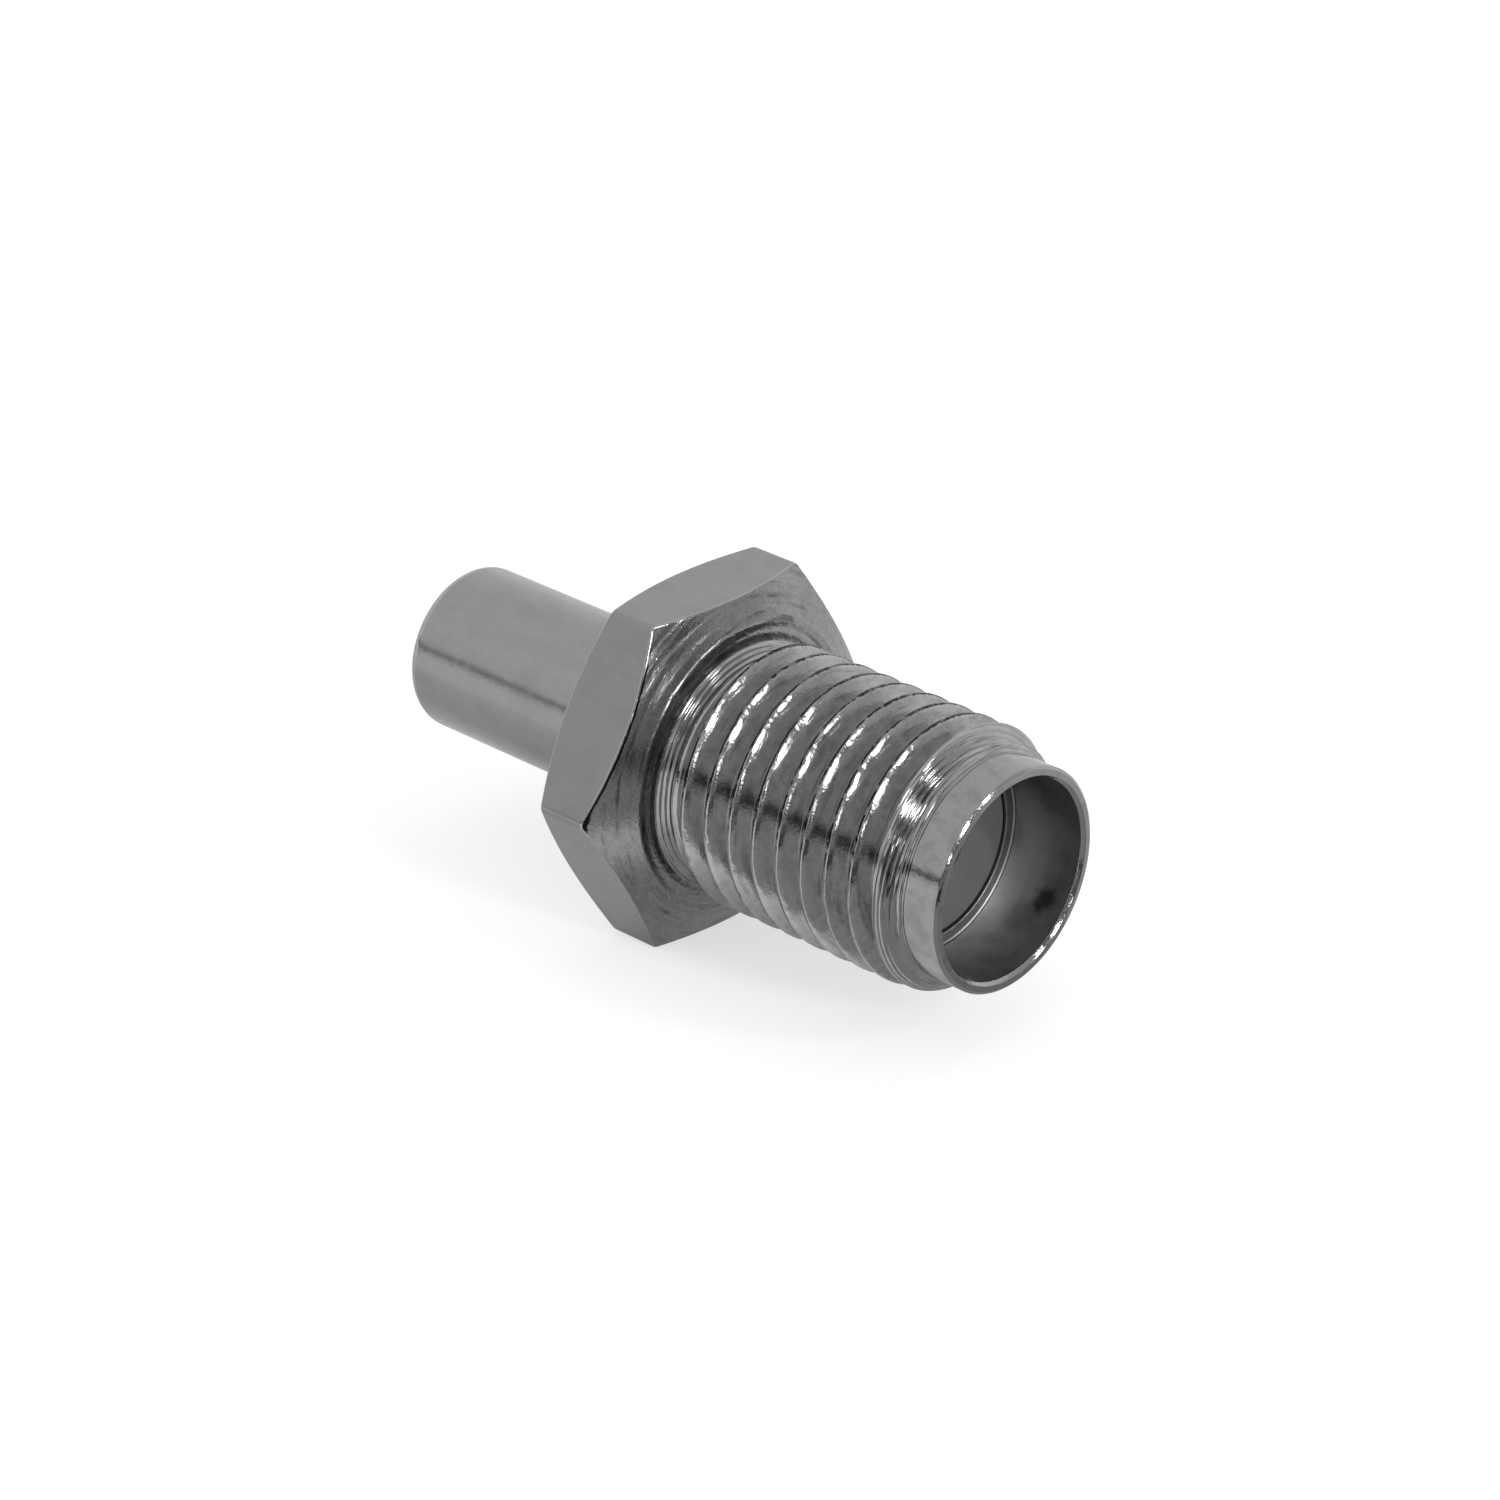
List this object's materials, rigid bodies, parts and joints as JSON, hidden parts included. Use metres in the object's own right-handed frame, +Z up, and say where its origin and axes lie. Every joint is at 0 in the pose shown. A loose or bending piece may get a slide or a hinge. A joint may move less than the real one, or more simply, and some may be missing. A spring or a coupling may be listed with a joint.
{
  "type": "coaxial adapter",
  "caption": "Straight coaxial adapter: a threaded jack with a stepped mouth, a chamfered hexagon and a smooth round barrel with a small push-on jack.",
  "frame": {"origin": "on the connector axis in the threaded jack's reference plane, at the bottom of its bore", "axes": "+X along the connector axis out of the threaded jack's mouth, +Z up, square to the hexagon's bottom flat"},
  "size_m": [0.0169, 0.0094, 0.0082],
  "materials": {
    "nickel_plated_brass": "satin",
    "insulator": "matte",
    "gold_plated_contact": "satin"
  },
  "bodies": {
    "root": {"hex_body": "nickel_plated_brass", "rear_barrel": "nickel_plated_brass", "front_insulator": "insulator", "rear_insulator": "insulator", "centre_contact": "gold_plated_contact"}
  },
  "joints": []
}
